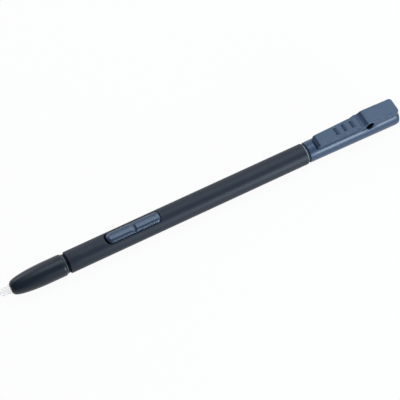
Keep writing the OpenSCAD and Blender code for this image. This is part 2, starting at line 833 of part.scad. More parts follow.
module chip_capacitors() {
    color("#a58a62") on_pen()
        for (i = [0:capacitor_count - 1]) on_board(capacitor_offset + i * capacitor_pitch, capacitor_size);
}

module rear_cushion() {
    color("#3d3f42") on_pen() bar_x(cushion_x, cushion_x + cushion_length, carrier_r);
}

nib();
nib_holder();
nose_cone();
nose_collar();
barrel();
side_switch();
switch_pin();
tail_cap();
tail_seal();
clip_arm();
coil_former();
ferrite_core();
coil_winding();
coil_leads();
sensor_housing();
sensor_rubber();
dielectric_disc();
sensor_terminal();
board_carrier();
circuit_board();
front_dome();
rear_dome();
control_chip();
trimmer();
chip_capacitors();
rear_cushion();
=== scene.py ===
"""Looks of a tablet computer's stylus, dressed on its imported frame."""
import logging
import math
from collections.abc import Callable, Sequence
from dataclasses import dataclass
from enum import Enum

import bmesh
import bpy
from bmesh.types import BMesh
from mathutils import Matrix, Vector


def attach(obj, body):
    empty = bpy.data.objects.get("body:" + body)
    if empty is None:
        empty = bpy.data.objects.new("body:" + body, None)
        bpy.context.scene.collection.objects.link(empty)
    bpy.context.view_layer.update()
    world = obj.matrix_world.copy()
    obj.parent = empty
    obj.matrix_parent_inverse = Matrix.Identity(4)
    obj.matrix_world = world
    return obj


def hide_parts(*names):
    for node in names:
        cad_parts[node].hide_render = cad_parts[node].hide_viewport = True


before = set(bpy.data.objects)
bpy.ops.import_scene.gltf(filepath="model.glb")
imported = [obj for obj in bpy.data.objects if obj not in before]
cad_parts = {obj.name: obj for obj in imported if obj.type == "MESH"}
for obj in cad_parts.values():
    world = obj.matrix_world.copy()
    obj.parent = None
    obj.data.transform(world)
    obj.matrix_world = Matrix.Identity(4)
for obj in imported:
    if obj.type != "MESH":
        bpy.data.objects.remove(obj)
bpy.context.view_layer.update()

Point = tuple[float, float]
Triple = tuple[float, float, float]
Rgb = tuple[int, int, int]
Rgba = tuple[float, float, float, float]
Tree = bpy.types.NodeTree
Socket = bpy.types.NodeSocket
Material = bpy.types.Material

log = logging.getLogger("stylus")

# Meshes are drawn in millimetres, with X from the nib's tip and Z from the pen's axis
MM = 0.001
# Station of the frame's middle, and height of the pen's axis above the ground
MIDDLE_X = 71.0
AXIS_H = 3.9
# Where the nose begins, where the barrel begins, and the barrel's radius and bore
NOSE_X = 3.8
BARREL_X = 23.0
BARREL_R = 3.6
BORE_R = 2.95
# Where the arm's root turns in the tail's seat
ROOT_X = 127.4
ROOT_Z = 4.125
# Distance at which two points become one, and length below which an edge is a sliver
MERGE_REACH = 1e-5
SLIVER = 1e-6
# Strengths of a cloudy pattern between which it changes most
WEAK = 0.3
STRONG = 0.7
# Radians that the band pattern turns in one unit of its scale
BAND_RATE = 20
# Colour of the light that the slate-blue plastics mirror
SLATE_GLINT = (0.82, 0.93, 1.0)


class Body(Enum):
    """Bodies of the frame that a piece can ride on."""

    PEN = "pen_body"
    NIB = "nib"
    SWITCH = "side_switch"
    CLIP = "clip"


class Pattern(Enum):
    """Surface patterns of the inner pieces."""

    GRAIN = "grain"
    TURNS = "turns"
    WEAVE = "weave"
    CELLS = "cells"
    BRUSHED = "brushed"


class Axis(Enum):
    """Directions of the pen."""

    ALONG = "X"
    ACROSS = "Y"
    UP = "Z"


class Cut(Enum):
    """Ways to combine two closed meshes."""

    ADD = "UNION"
    TAKE = "DIFFERENCE"


class Sum(Enum):
    """Calculations with two values."""

    PRODUCT = "MULTIPLY"
    GREATER = "MAXIMUM"


class Fade(Enum):
    """Ways to run from one value to another."""

    EVEN = "LINEAR"
    SOFT = "SMOOTHSTEP"


def between(start: float, end: float, share: float) -> float:
    """Value at a share of the way from start to end."""
    return start + (end - start) * share


def share_of(value: float, start: float, end: float) -> float:
    """How far a value lies from start to end, from 0 to 1."""
    return min(1.0, max(0.0, (value - start) / (end - start)))


def eased(value: float, start: float, end: float) -> float:
    """As share_of, with a soft start and end."""
    share = share_of(value, start, end)
    return share * share * (3 - 2 * share)


def spaced(start: float, end: float, steps: int) -> list[float]:
    """Evenly spaced values from start to end, both included."""
    return [between(start, end, i / steps) for i in range(steps + 1)]


def quarter(steps: int) -> list[float]:
    """Angles of a quarter turn in even steps, in radians."""
    return spaced(0, math.pi / 2, steps)


def side_to_side(steps: int) -> list[float]:
    """Shares of the half width from side to side, closer together at the edges."""
    return [math.sin(turn) for turn in spaced(-math.pi / 2, math.pi / 2, steps)]


def gathered(start: float, end: float, steps: int) -> list[float]:
    """Values from start to end that lie closer together at both ends."""
    return [between(start, end, (1 - math.cos(math.pi * i / steps)) / 2) for i in range(steps + 1)]


def merged_lines(*groups: Sequence[float], least: float = 0.015) -> list[float]:
    """Sorts groups of grid lines into one list and drops lines that nearly coincide.

    Args:
        *groups: Positions of the lines.
        least: Smallest distance between two lines that are kept.

    Returns:
        The lines in rising order.
    """
    kept: list[float] = []
    for line in sorted(value for group in groups for value in group):
        if not kept or line - kept[-1] >= least:
            kept.append(line)
    return kept


def arc(centre: Point, radius: float, start: float, end: float, steps: int = 8) -> list[Point]:
    """Points on an arc.

    Args:
        centre: Centre of the arc.
        radius: Radius of the arc.
        start: First angle in degrees.
        end: Last angle in degrees.
        steps: Number of steps along the arc.

    Returns:
        The points, both ends included.
    """
    turns = [math.radians(angle) for angle in spaced(start, end, steps)]
    return [(centre[0] + radius * math.cos(t), centre[1] + radius * math.sin(t)) for t in turns]


def falling(end: Point, run: float, drop: float, steps: int) -> list[Point]:
    """Profile of a rear edge that falls away on a quarter of an ellipse.

    Args:
        end: Station of the rear end, and the radius before the edge.
        run: Length of the edge along the pen.
        drop: How far the radius falls.
        steps: Number of steps.

    Returns:
        Points as (station, radius).
    """
    x, radius = end
    turns = quarter(steps)
    return [(x - run * (1 - math.sin(turn)), radius - drop * (1 - math.cos(turn))) for turn in turns]


def edge_drop(distance: float, radius: float) -> float:
    """How far a rounded edge falls at a distance inside an outline."""
    inside = max(0.0, radius - max(0.0, distance))
    return radius - math.sqrt(radius * radius - inside * inside)


def settled(bm: BMesh) -> BMesh:
    """Closes seams and poles and turns the faces outwards.

    Args:
        bm: The mesh.

    Returns:
        The same mesh.
    """
    bmesh.ops.remove_doubles(bm, verts=bm.verts, dist=MERGE_REACH)
    bmesh.ops.dissolve_degenerate(bm, edges=bm.edges, dist=SLIVER)
    bmesh.ops.recalc_face_normals(bm, faces=bm.faces)
    return bm


def turned(profile: Sequence[Point], closed: bool = False, steps: int = 96) -> BMesh:
    """Spins a profile round the pen's axis.

    Args:
        profile: Points as (station, radius).
        closed: Whether the last point joins the first.
        steps: Number of steps round the axis.

    Returns:
        The spun mesh.
    """
    bm = bmesh.new()
    verts = [bm.verts.new((x, 0, r)) for x, r in profile]
    edges = [bm.edges.new(pair) for pair in zip(verts, verts[1:])]
    if closed:
        edges.append(bm.edges.new((verts[-1], verts[0])))
    bmesh.ops.spin(
        bm, geom=verts + edges, cent=(0, 0, 0), axis=(1, 0, 0), angle=math.tau, steps=steps, use_merge=True
    )
    return settled(bm)


def lofted(sections: Sequence[Sequence[Vector]]) -> BMesh:
    """Draws a skin through loops with equal numbers of points and caps its ends.

    Args:
        sections: The loops, in order.

    Returns:
        The closed mesh.
    """
    bm = bmesh.new()
    ring = bmesh.ops.create_circle(bm, cap_ends=False, radius=1, segments=len(sections[0]))["verts"]
    edges = list(bm.edges)
    first = edges
    for vert, point in zip(ring, sections[0]):
        vert.co = point
    for section in sections[1:]:
        order = {vert: i for i, vert in enumerate(ring)}
        grown = bmesh.ops.extrude_edge_only(bm, edges=edges)["geom"]
        edges = [part for part in grown if isinstance(part, bmesh.types.BMEdge)]
        fresh = [part for part in grown if isinstance(part, bmesh.types.BMVert)]
        ring = list(ring)
        for vert in fresh:
            i = next(order[e.other_vert(vert)] for e in vert.link_edges if e.other_vert(vert) in order)
            vert.co = section[i]
            ring[i] = vert
    bmesh.ops.edgeloop_fill(bm, edges=first)
    bmesh.ops.edgeloop_fill(bm, edges=edges)
    return settled(bm)


def gridded(xs: Sequence[float], ys: Sequence[float], place: Callable[[float, float], Vector]) -> BMesh:
    """Lays a grid over given lines.

    Args:
        xs: Lines along the pen.
        ys: Lines across it.
        place: Gives the place of the crossing of two lines.

    Returns:
        The open grid.
    """
    bm = bmesh.new()
    columns, rows = len(xs) - 1, len(ys) - 1
    bmesh.ops.create_grid(bm, x_segments=columns, y_segments=rows, size=1)
    for vert in bm.verts:
        column = round((vert.co.x + 1) / 2 * columns)
        row = round((vert.co.y + 1) / 2 * rows)
        vert.co = place(xs[column], ys[row])
    return bm


def backed(bm: BMesh, floor: Callable[[float], float]) -> BMesh:
    """Extrudes a grid down to a floor.

    Args:
        bm: The grid.
        floor: Gives the floor's height at a station.

    Returns:
        The closed mesh.
    """
    grown = bmesh.ops.extrude_face_region(bm, geom=list(bm.faces), use_keep_orig=True)["geom"]
    for part in grown:
        if isinstance(part, bmesh.types.BMVert):
            part.co.z = floor(part.co.x)
    return settled(bm)


def prism(outline: Sequence[Point], low: float, high: float) -> BMesh:
    """Extrudes an outline seen from above.

    Args:
        outline: Points as (x, y).
        low: Height of its underside.
        high: Height of its top.

    Returns:
        The closed mesh.
    """
    bm = bmesh.new()
    face = bm.faces.new([bm.verts.new((x, y, low)) for x, y in outline])
    grown = bmesh.ops.extrude_face_region(bm, geom=[face], use_keep_orig=True)["geom"]
    lifted = [part for part in grown if isinstance(part, bmesh.types.BMVert)]
    bmesh.ops.translate(bm, verts=lifted, vec=(0, 0, high - low))
    return settled(bm)


def set_up(bm: BMesh, axis: Axis, angle: float, place: Triple) -> BMesh:
    """Turns a mesh about an axis and moves it to its place.

    Args:
        bm: The mesh.
        axis: The axis, through the mesh's own zero point.
        angle: Angle in degrees.
        place: Where the zero point goes.

    Returns:
        The same mesh.
    """
    turn = Matrix.Rotation(math.radians(angle), 3, axis.value)
    bmesh.ops.rotate(bm, verts=bm.verts, cent=(0, 0, 0), matrix=turn)
    bmesh.ops.translate(bm, verts=bm.verts, vec=place)
    return bm


def loose_object(name: str, bm: BMesh) -> bpy.types.Object:
    """Makes an object of a mesh and links it to the scene.

    Args:
        name: Its name.
        bm: The mesh, which is used up.

    Returns:
        The object.
    """
    mesh = bpy.data.meshes.new(name)
    bm.to_mesh(mesh)
    bm.free()
    made = bpy.data.objects.new(name, mesh)
    bpy.context.scene.collection.objects.link(made)
    return made


def combined(bm: BMesh, other: BMesh, way: Cut = Cut.TAKE) -> BMesh:
    """Combines two closed meshes.

    Args:
        bm: The mesh that is worked on.
        other: The mesh that is added to it or taken away from it.
        way: Which of the two.

    Returns:
        The mesh that comes out.
    """
    stock = loose_object("stock", bm)
    tool = loose_object("tool", other)
    cut = stock.modifiers.new("cut", "BOOLEAN")
    cut.operation = way.value
    cut.solver = "EXACT"
    cut.object = tool
    graph = bpy.context.evaluated_depsgraph_get()
    left = bmesh.new()
    left.from_object(stock, graph)
    for used in (stock, tool):
        mesh = used.data
        bpy.data.objects.remove(used)
        bpy.data.meshes.remove(mesh)
    return left


def joined(parts: Sequence[BMesh]) -> BMesh:
    """Puts several meshes into one.

    Args:
        parts: The meshes, which are used up.

    Returns:
        The whole.
    """
    whole = bmesh.new()
    for part in parts:
        scratch = bpy.data.meshes.new("scratch")
        part.to_mesh(scratch)
        part.free()
        whole.from_mesh(scratch)
        bpy.data.meshes.remove(scratch)
    return whole


def linear(colour: Rgb) -> Rgba:
    """Turns a display colour of 0 to 255 into the scene's own.

    Args:
        colour: The display colour.

    Returns:
        The scene's colour.
    """
    shares = [value / 255 for value in colour]
    light = [s / 12.92 if s <= 0.04045 else ((s + 0.055) / 1.055) ** 2.4 for s in shares]
    return (light[0], light[1], light[2], 1.0)


def shaded(colour: Rgb, share: float) -> Rgba:
    """A display colour made lighter or darker, as the scene's own."""
    light = linear(colour)
    return (light[0] * share, light[1] * share, light[2] * share, 1.0)


def calculated(tree: Tree, way: Sum, first: Socket, second: Socket | float) -> Socket:
    """Adds a calculation with two values to a node tree.

    Args:
        tree: The node tree.
        way: The calculation.
        first: The first value.
        second: The second value, another node's or a constant.

    Returns:
        The result.
    """
    node = tree.nodes.new("ShaderNodeMath")
    node.operation = way.value
    tree.links.new(first, node.inputs[0])
    if isinstance(second, float):
        node.inputs[1].default_value = second
    else:
        tree.links.new(second, node.inputs[1])
    return node.outputs["Value"]


def mapped(tree: Tree, value: Socket, span: Point, target: Point, fade: Fade = Fade.EVEN) -> Socket:
    """Maps a value from one range to another.

    Args:
        tree: The node tree.
        value: The value.
        span: Range that it comes from.
        target: Range that it is mapped to.
        fade: How it runs between the ends.

    Returns:
        The mapped value.
    """
    node = tree.nodes.new("ShaderNodeMapRange")
    node.interpolation_type = fade.value
    for key, limit in zip(("From Min", "From Max", "To Min", "To Max"), (*span, *target)):
        node.inputs[key].default_value = limit
    tree.links.new(value, node.inputs["Value"])
    return node.outputs["Result"]


class ShaderSketch:
    """A node material under way, with its pattern sockets."""

    def __init__(self, name: str) -> None:
        """Starts a material with one surface shader.

        Args:
            name: Name of the material.
        """
        self.material = bpy.data.materials.new(name)
        self.material.use_nodes = True
        self.tree = self.material.node_tree
        self.nodes = self.tree.nodes
        self.links = self.tree.links
        self.shader = next(node for node in self.nodes if node.type == "BSDF_PRINCIPLED")
        self.coords = self.nodes.new("ShaderNodeTexCoord").outputs["Object"]

    def set(self, **values: float | tuple[float, ...]) -> None:
        """Sets constant values on the shader's own sockets, spaces written as underscores."""
        for key, value in values.items():
            self.shader.inputs[key.replace("_", " ")].default_value = value

    def stretched(self, scale: Triple) -> Socket:
        """Object coordinates stretched by a scale.

        Args:
            scale: Scale along each axis.

        Returns:
            The coordinates.
        """
        mapping = self.nodes.new("ShaderNodeMapping")
        mapping.inputs["Scale"].default_value = scale
        self.links.new(self.coords, mapping.inputs["Vector"])
        return mapping.outputs["Vector"]

    def noise(self, size: float, detail: float = 3.0, vector: Socket | None = None) -> Socket:
        """Cloudy pattern.

        Args:
            size: Size of its clouds in millimetres.
            detail: Octaves of finer detail.
            vector: Coordinates, or the object's own.

        Returns:
            The pattern's strength.
        """
        node = self.nodes.new("ShaderNodeTexNoise")
        node.inputs["Scale"].default_value = 1 / (size * MM)
        node.inputs["Detail"].default_value = detail
        self.links.new(vector or self.coords, node.inputs["Vector"])
        return node.outputs["Fac"]

    def cells(self, size: float) -> Socket:
        """Pattern of cells of a size in millimetres.

        Args:
            size: Size of a cell.

        Returns:
            The pattern's strength.
        """
        node = self.nodes.new("ShaderNodeTexVoronoi")
        node.inputs["Scale"].default_value = 1 / (size * MM)
        self.links.new(self.coords, node.inputs["Vector"])
        return node.outputs["Distance"]

    def bands(self, size: float, axis: Axis) -> Socket:
        """Even bands across an axis, of a pitch in millimetres.

        Args:
            size: The pitch.
            axis: The axis.

        Returns:
            The pattern's strength.
        """
        node = self.nodes.new("ShaderNodeTexWave")
        node.bands_direction = axis.value
        node.inputs["Scale"].default_value = math.tau / (BAND_RATE * size * MM)
        self.links.new(self.coords, node.inputs["Vector"])
        return node.outputs["Fac"]

    def product(self, first: Socket, second: Socket) -> Socket:
        """Product of two patterns."""
        return calculated(self.tree, Sum.PRODUCT, first, second)

    def spread(self, pattern: Socket, low: float, high: float) -> Socket:
        """Maps a cloudy pattern to values from low to high."""
        return mapped(self.tree, pattern, (WEAK, STRONG), (low, high))

    def tint(self, pattern: Socket, weak: Rgba, strong: Rgba) -> None:
        """Colours the shader between two colours by a pattern.

        Args:
            pattern: The pattern.
            weak: Colour where it is weak.
            strong: Colour where it is strong.
        """
        node = self.nodes.new("ShaderNodeValToRGB")
        for stop, position, colour in zip(node.color_ramp.elements, (WEAK, STRONG), (weak, strong)):
            stop.position = position
            stop.color = colour
        self.links.new(pattern, node.inputs["Fac"])
        self.links.new(node.outputs["Color"], self.shader.inputs["Base Color"])

    def roughen(self, pattern: Socket, low: float, high: float) -> None:
        """Varies the shader's roughness by a pattern."""
        self.links.new(self.spread(pattern, low, high), self.shader.inputs["Roughness"])

    def emboss(self, pattern: Socket, depth: float) -> None:
        """Raises a pattern by a depth in millimetres.

        Args:
            pattern: The pattern.
            depth: The depth.
        """
        node = self.nodes.new("ShaderNodeBump")
        node.inputs["Distance"].default_value = depth * MM
        self.links.new(pattern, node.inputs["Height"])
        self.links.new(node.outputs["Normal"], self.shader.inputs["Normal"])


@dataclass(frozen=True)
class MouldedPlastic:
    """Moulded plastic with a fine eroded grain and faint flow clouds.

    Attributes:
        name: Name of the material.
        colour: Its display colour.
        variation: Share by which the colour varies.
        grain: Size of its grain in millimetres.
        depth: Depth of its grain in millimetres.
        roughness: Lowest and highest roughness.
        specular: Strength of its mirror light.
        mirror_tint: Colour that its mirror light takes on.
        cloud_size: Size of its flow clouds, in grains.
        grain_low: Share of the colour's range in the hollows of the grain.
        cloud_low: Share of the colour's range between the clouds.
    """

    name: str
    colour: Rgb
    variation: float = 0.06
    grain: float = 0.12
    depth: float = 0.004
    roughness: Point = (0.36, 0.46)
    specular: float = 0.5
    mirror_tint: Triple = (1.0, 1.0, 1.0)
    cloud_size: float = 30
    grain_low: float = 0.55
    cloud_low: float = 0.6

    def material(self) -> Material:
        """Builds the material."""
        sketch = ShaderSketch(self.name)
        grain = sketch.noise(self.grain, detail=2.0)
        clouds = sketch.noise(self.grain * self.cloud_size)
        grain_share = sketch.spread(grain, self.grain_low, 1.0)
        cloud_share = sketch.spread(clouds, self.cloud_low, 1.0)
        sketch.tint(
            sketch.product(grain_share, cloud_share),
            shaded(self.colour, 1 - self.variation),
            shaded(self.colour, 1 + self.variation),
        )
        sketch.roughen(grain, *self.roughness)
        sketch.emboss(grain, self.depth)
        sketch.set(Specular_IOR_Level=self.specular, Specular_Tint=(*self.mirror_tint, 1.0))
        return sketch.material


@dataclass(frozen=True)
class ClearResin:
    """Milky resin that lets light through.

    Attributes:
        name: Name of the material.
        colour: Its display colour.
        depth: How far light travels in it, in millimetres.
        clearness: Share of the light that passes straight through.
        milkiness: Share of the rest that wanders below the surface.
        reach: How far red, green and blue wander, as shares of the depth.
        bend: How much it bends light.
        cloud: Size of its clouds in millimetres.
        contrast: Shares of the colour outside and inside the clouds.
        scuff: Size of its scuffs in millimetres.
        scuff_depth: Depth of its scuffs in millimetres.
        roughness: Lowest and highest roughness.
    """

    name: str
    colour: Rgb
    depth: float
    clearness: float = 0.88
    milkiness: float = 0.6
    reach: Triple = (1.0, 1.0, 1.05)
    bend: float = 1.1
    cloud: float = 0.8
    contrast: Point = (0.95, 1.03)
    scuff: float = 0.1
    scuff_depth: float = 0.003
    roughness: Point = (0.45, 0.6)

    def material(self) -> Material:
        """Builds the material."""
        sketch = ShaderSketch(self.name)
        clouds = sketch.noise(self.cloud)
        scuffs = sketch.noise(self.scuff, detail=2.0)
        sketch.tint(clouds, *(shaded(self.colour, share) for share in self.contrast))
        sketch.roughen(scuffs, *self.roughness)
        sketch.emboss(scuffs, self.scuff_depth)
        sketch.set(
            Subsurface_Weight=self.milkiness,
            Subsurface_Radius=self.reach,
            Subsurface_Scale=self.depth * MM,
            Transmission_Weight=self.clearness,
            IOR=self.bend,
        )
        return sketch.material


@dataclass(frozen=True)
class InnerFinish:
    """Finish of a piece inside the pen.

    Attributes:
        name: Name of the material.
        colour: Its display colour.
        pattern: Its surface pattern.
        size: Size of the pattern in millimetres.
        roughness: Middle of its roughness.
        metallic: 1 for bare metal.
        contrast: Shares of the colour where the pattern is weak and where it is strong.
        unevenness: How far the roughness goes to either side of its middle.
        relief: Height of the pattern, as a share of its size.
        brushing: Stretch of a brushed pattern.
    """

    name: str
    colour: Rgb
    pattern: Pattern = Pattern.GRAIN
    size: float = 0.1
    roughness: float = 0.5
    metallic: float = 0.0
    contrast: Point = (0.8, 1.1)
    unevenness: float = 0.08
    relief: float = 0.125
    brushing: Triple = (0.1, 1.0, 1.0)

    def strength(self, sketch: ShaderSketch) -> Socket:
        """Draws the finish's pattern.

        Args:
            sketch: The material under way.

        Returns:
            The pattern's strength.
        """
        if self.pattern is Pattern.TURNS:
            return sketch.bands(self.size, Axis.ALONG)
        if self.pattern is Pattern.WEAVE:
            return sketch.product(sketch.bands(self.size, Axis.ALONG), sketch.bands(self.size, Axis.ACROSS))
        if self.pattern is Pattern.CELLS:
            return sketch.cells(self.size)
        if self.pattern is Pattern.BRUSHED:
            return sketch.noise(self.size, detail=2.0, vector=sketch.stretched(self.brushing))
        return sketch.noise(self.size)

    def material(self) -> Material:
        """Builds the material."""
        sketch = ShaderSketch(self.name)
        pattern = self.strength(sketch)
        sketch.tint(pattern, *(shaded(self.colour, share) for share in self.contrast))
        sketch.roughen(pattern, self.roughness - self.unevenness, self.roughness + self.unevenness)
        sketch.emboss(pattern, self.size * self.relief)
        sketch.set(Metallic=self.metallic)
        return sketch.material


def gap_shade_plastic(name: str, colour: Rgb) -> MouldedPlastic:
    """Dull, near-black plastic that stands for the shade on faces lying in a gap: painted shade."""
    return MouldedPlastic(name, colour, roughness=(0.6, 0.7), specular=0.1)


def slate_plastic(name: str) -> MouldedPlastic:
    """Slate-blue plastic of the tail and its arm."""
    return MouldedPlastic(
        name, (57, 75, 99), roughness=(0.32, 0.4), depth=0.0025, specular=0.4, mirror_tint=SLATE_GLINT
    )


def dressed(
    name: str,
    bm: BMesh,
    finishes: Sequence[MouldedPlastic | ClearResin],
    body: Body,
    node: str,
    crease: float = 32,
) -> None:
    """Puts a mesh in the shared frame as a finished piece.

    Args:
        name: Name of the piece.
        bm: Its mesh, in millimetres on the pen.
        finishes: Its finishes, in the order of its faces' numbers.
        body: Body that it rides on.
        node: CAD node that it stands for.
        crease: Angle in degrees above which an edge stays sharp.
    """
    bmesh.ops.scale(bm, vec=(MM, MM, MM), verts=bm.verts)
    bmesh.ops.translate(bm, vec=(-MIDDLE_X * MM, 0, AXIS_H * MM), verts=bm.verts)
    made = loose_object(name, bm)
    for finish in finishes:
        made.data.materials.append(finish.material())
    made.data.shade_smooth()
    made.data.set_sharp_from_angle(angle=math.radians(crease))
    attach(made, body.value)
    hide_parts(node)
    log.info("%s: %d faces, stands for %s", name, len(made.data.polygons), node)


@dataclass(frozen=True)
class RoundedPlan:
    """Outline of a long piece seen from above, with round corners.

    Attributes:
        front: Station of its front end.
        rear: Station of its rear end.
        front_w: Half its width at the front.
        rear_w: Half its width at the rear.
        front_r: Radius of its front corners.
        rear_r: Radius of its rear corners.
    """

    front: float
    rear: float
    front_w: float
    rear_w: float
    front_r: float
    rear_r: float

    def side(self, x: float) -> float:
        """Half the width at a station, without the corners."""
        return between(self.front_w, self.rear_w, share_of(x, self.front, self.rear))

    def half_width(self, x: float) -> float:
        """Half the width at a station, corners included.

        Args:
            x: The station.

        Returns:
            The half width.
        """
        if x < self.front + self.front_r:
            away = min(self.front_r, self.front + self.front_r - x)
            return self.front_w - self.front_r + math.sqrt(self.front_r ** 2 - away ** 2)
        if x > self.rear - self.rear_r:
            away = min(self.rear_r, x - self.rear + self.rear_r)
            return self.rear_w - self.rear_r + math.sqrt(self.rear_r ** 2 - away ** 2)
        return self.side(x)

    def edge_distance(self, x: float, y: float) -> float:
        """Distance from a point inside the outline to its edge.

        Args:
            x: Station of the point.
            y: Its distance across the pen.

        Returns:
            The distance, in millimetres.
        """
        across = abs(y)
        if x < self.front + self.front_r and across > self.front_w - self.front_r:
            away = math.hypot(self.front + self.front_r - x, across - self.front_w + self.front_r)
            return self.front_r - away
        if x > self.rear - self.rear_r and across > self.rear_w - self.rear_r:
            away = math.hypot(x - self.rear + self.rear_r, across - self.rear_w + self.rear_r)
            return self.rear_r - away
        return min(x - self.front, self.rear - x, self.side(x) - across)

    def outline(self, steps: int = 12) -> list[Point]:
        """Points round the outline.

        Args:
            steps: Number of steps round each corner.

        Returns:
            Points as (x, y).
        """
        right = arc((self.rear - self.rear_r, self.rear_w - self.rear_r), self.rear_r, 0, 90, steps)
        right += arc((self.front + self.front_r, self.front_w - self.front_r), self.front_r, 90, 180, steps)
        return right + [(x, -y) for x, y in reversed(right)]


@dataclass
class NibTip:
    """The nib: a milky cone with a round tip, a guide and a long shank."""

    tip_r: float = 1.1
    tip_turn: float = 100.0
    guide_r: float = 1.4
    guide_x: float = 6.4
    shank_r: float = 0.75
    shank_x: float = 30.5
    edge: float = 0.12
    resin: ClearResin = ClearResin("nib_resin", (250, 251, 250), 0.5)

    def build(self) -> None:
        """Spins the nib and dresses it."""
        profile = arc((self.tip_r, 0), self.tip_r, 180, self.tip_turn, steps=12)
        profile += [(NOSE_X, self.guide_r)]
        profile += arc((self.guide_x - self.edge, self.guide_r - self.edge), self.edge, 90, 0, steps=4)
        profile += [(self.guide_x, self.shank_r), (self.shank_x - self.edge, self.shank_r)]
        profile += [(self.shank_x, self.shank_r - self.edge), (self.shank_x, 0)]
        dressed("nib_tip", turned(profile, steps=64), [self.resin], Body.NIB, "nib")


@dataclass
class Nose:
    """The bullet-shaped nose and the collar that joins it to the barrel."""

    rear_x: float = 21.75
    bore_r: float = 1.45
    rim_r: float = 1.85
    rim_round: float = 0.25
    ogive: float = 12.25
    rear_run: float = 0.8
    rear_drop: float = 0.4
    seat_x: float = 17.32
    seat_r: float = 2.35
    coil_x: float = 7.87
    collar_x: float = 17.35
    collar_rear_x: float = 26.2
    collar_r: float = 2.92
    neck_r: float = 3.1
    lip_r: float = 3.22
    lip_w: float = 0.6
    lip_round: float = 0.12
    shell: MouldedPlastic = MouldedPlastic(
        "nose_plastic", (29, 37, 47), roughness=(0.31, 0.39), grain=0.1, depth=0.002, specular=0.3
    )
    sleeve: MouldedPlastic = MouldedPlastic("collar_plastic", (58, 66, 78), roughness=(0.4, 0.5))
    # Painted shade: the collar's neck down in the groove is coloured near-black
    groove: MouldedPlastic = gap_shade_plastic("groove_painted_shade", (17, 19, 26))

    def build(self) -> None:
        """Builds the nose and the collar."""
        self.build_shell()
        self.build_collar()

    def build_shell(self) -> None:
        """Spins the shell: a round rim, a quarter of an ellipse, and a round rear edge."""
        swell = BARREL_R - self.rim_r
        start = NOSE_X + self.rim_round
        run = self.ogive - self.rim_round
        profile = [(NOSE_X, self.bore_r)]
        profile += arc((start, self.rim_r - self.rim_round), self.rim_round, 180, 90)
        for turn in quarter(48)[1:]:
            profile.append((start + run * (1 - math.cos(turn)), self.rim_r + swell * math.sin(turn)))
        profile += falling((self.rear_x, BARREL_R), self.rear_run, self.rear_drop, steps=12)
        profile += [(self.rear_x, BORE_R), (self.seat_x, BORE_R), (self.seat_x, self.seat_r)]
        profile += [(self.coil_x, self.seat_r), (self.coil_x, self.bore_r)]
        shell = turned(profile, closed=True)
        dressed("nose_shell", shell, [self.shell], Body.PEN, "nose_cone")

    def build_collar(self) -> None:
        """Spins the sleeve with its round lip behind the nose."""
        rear = self.rear_x + self.lip_w
        middle = self.lip_r - self.lip_round
        profile = [(self.collar_x, self.seat_r), (self.collar_x, self.collar_r)]
        profile.append((self.rear_x, self.collar_r))
        profile += arc((self.rear_x + self.lip_round, middle), self.lip_round, 180, 90, steps=5)
        profile += arc((rear - self.lip_round, middle), self.lip_round, 90, 0, steps=5)
        profile += [(rear, self.neck_r), (BARREL_X, self.neck_r), (BARREL_X, self.collar_r)]
        profile += [(self.collar_rear_x, self.collar_r), (self.collar_rear_x, self.seat_r)]
        sleeve = turned(profile, closed=True)
        # Faces behind the lip, down in the groove, take the near-black painted shade
        for face in sleeve.faces:
            face.material_index = int(face.calc_center_median().x > rear - self.lip_round)
        finishes = [self.sleeve, self.groove]
        dressed("nose_sleeve", sleeve, finishes, Body.PEN, "nose_collar")


